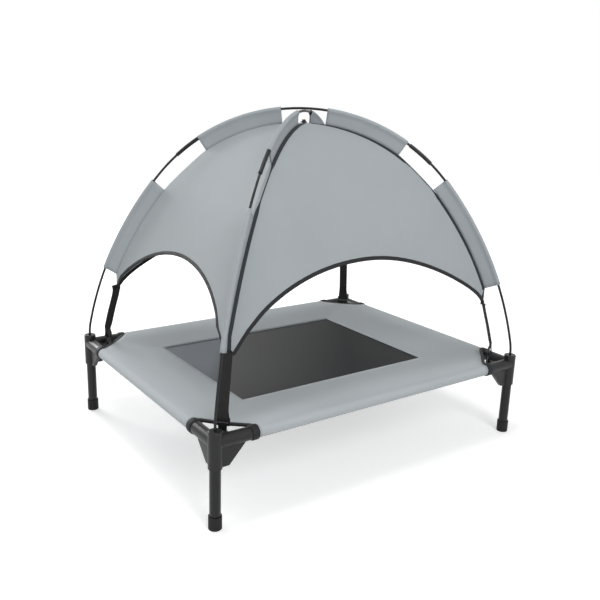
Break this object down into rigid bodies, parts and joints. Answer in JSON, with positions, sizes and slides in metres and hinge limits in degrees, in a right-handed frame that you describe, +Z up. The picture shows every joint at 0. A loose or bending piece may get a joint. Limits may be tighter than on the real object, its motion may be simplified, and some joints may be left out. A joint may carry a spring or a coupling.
{
  "type": "raised dog bed with canopy",
  "caption": "Raised dog bed: cloth stretched on a tube frame with moulded corner brackets, under a domed cloth canopy on crossing poles that lifts off.",
  "frame": {"origin": "on the floor, under the middle of the bed", "axes": "+X along the long side towards the right of the picture's near long side, +Y across the short side away from that near side, +Z up"},
  "size_m": [0.7646, 0.6126, 0.696],
  "materials": {
    "grey_cloth": "matt woven polyester",
    "mesh_cloth": "open woven mesh",
    "black_tape": "ribbed binding tape",
    "seam_tape": "flat binding tape",
    "black_webbing": "woven webbing",
    "moulded_plastic": "fine matt moulding",
    "coated_steel": "satin powder coat",
    "foot_rubber": "matt",
    "pole_fibreglass": "drawn rod, satin",
    "ferrule_metal": "black coated tube"
  },
  "bodies": {
    "bed": {"corner_bracket_front_left": "moulded_plastic", "leg_tube_front_left": "coated_steel", "foot_cap_front_left": "foot_rubber", "cover_binding_front_left": "black_tape", "corner_bracket_front_right": "moulded_plastic", "leg_tube_front_right": "coated_steel", "foot_cap_front_right": "foot_rubber", "cover_binding_front_right": "black_tape", "corner_bracket_rear_left": "moulded_plastic", "leg_tube_rear_left": "coated_steel", "foot_cap_rear_left": "foot_rubber", "cover_binding_rear_left": "black_tape", "corner_bracket_rear_right": "moulded_plastic", "leg_tube_rear_right": "coated_steel", "foot_cap_rear_right": "foot_rubber", "cover_binding_rear_right": "black_tape", "rail_front": "coated_steel", "rail_right": "coated_steel", "rail_rear": "coated_steel", "rail_left": "coated_steel", "bed_cover": "grey_cloth", "mesh_panel": "mesh_cloth"},
    "canopy": {"pole_lower_front_left": "pole_fibreglass", "ferrule_front_left": "ferrule_metal", "pole_tip_front_left": "moulded_plastic", "pole_sleeve_front_left": "grey_cloth", "corner_strap_front_left": "black_webbing", "strap_hook_front_left": "moulded_plastic", "pole_lower_front_right": "pole_fibreglass", "ferrule_front_right": "ferrule_metal", "pole_tip_front_right": "moulded_plastic", "pole_sleeve_front_right": "grey_cloth", "corner_strap_front_right": "black_webbing", "strap_hook_front_right": "moulded_plastic", "pole_lower_rear_left": "pole_fibreglass", "ferrule_rear_left": "ferrule_metal", "pole_tip_rear_left": "moulded_plastic", "pole_sleeve_rear_left": "grey_cloth", "corner_strap_rear_left": "black_webbing", "strap_hook_rear_left": "moulded_plastic", "pole_lower_rear_right": "pole_fibreglass", "ferrule_rear_right": "ferrule_metal", "pole_tip_rear_right": "moulded_plastic", "pole_sleeve_rear_right": "grey_cloth", "corner_strap_rear_right": "black_webbing", "strap_hook_rear_right": "moulded_plastic", "canopy_panel_front": "grey_cloth", "hem_binding_front": "black_tape", "canopy_panel_right": "grey_cloth", "hem_binding_right": "black_tape", "canopy_panel_rear": "grey_cloth", "hem_binding_rear": "black_tape", "canopy_panel_left": "grey_cloth", "hem_binding_left": "black_tape", "seam_binding_front": "seam_tape", "seam_binding_rear": "seam_tape", "pole_crown_over": "pole_fibreglass", "pole_crown_under": "pole_fibreglass", "apex_knob": "moulded_plastic"}
  },
  "joints": [
    {"name": "canopy_lift", "type": "slide", "parent": "bed", "child": "canopy", "axis": [0, 0, 1], "range_m": [0, 0.12]}
  ]
}
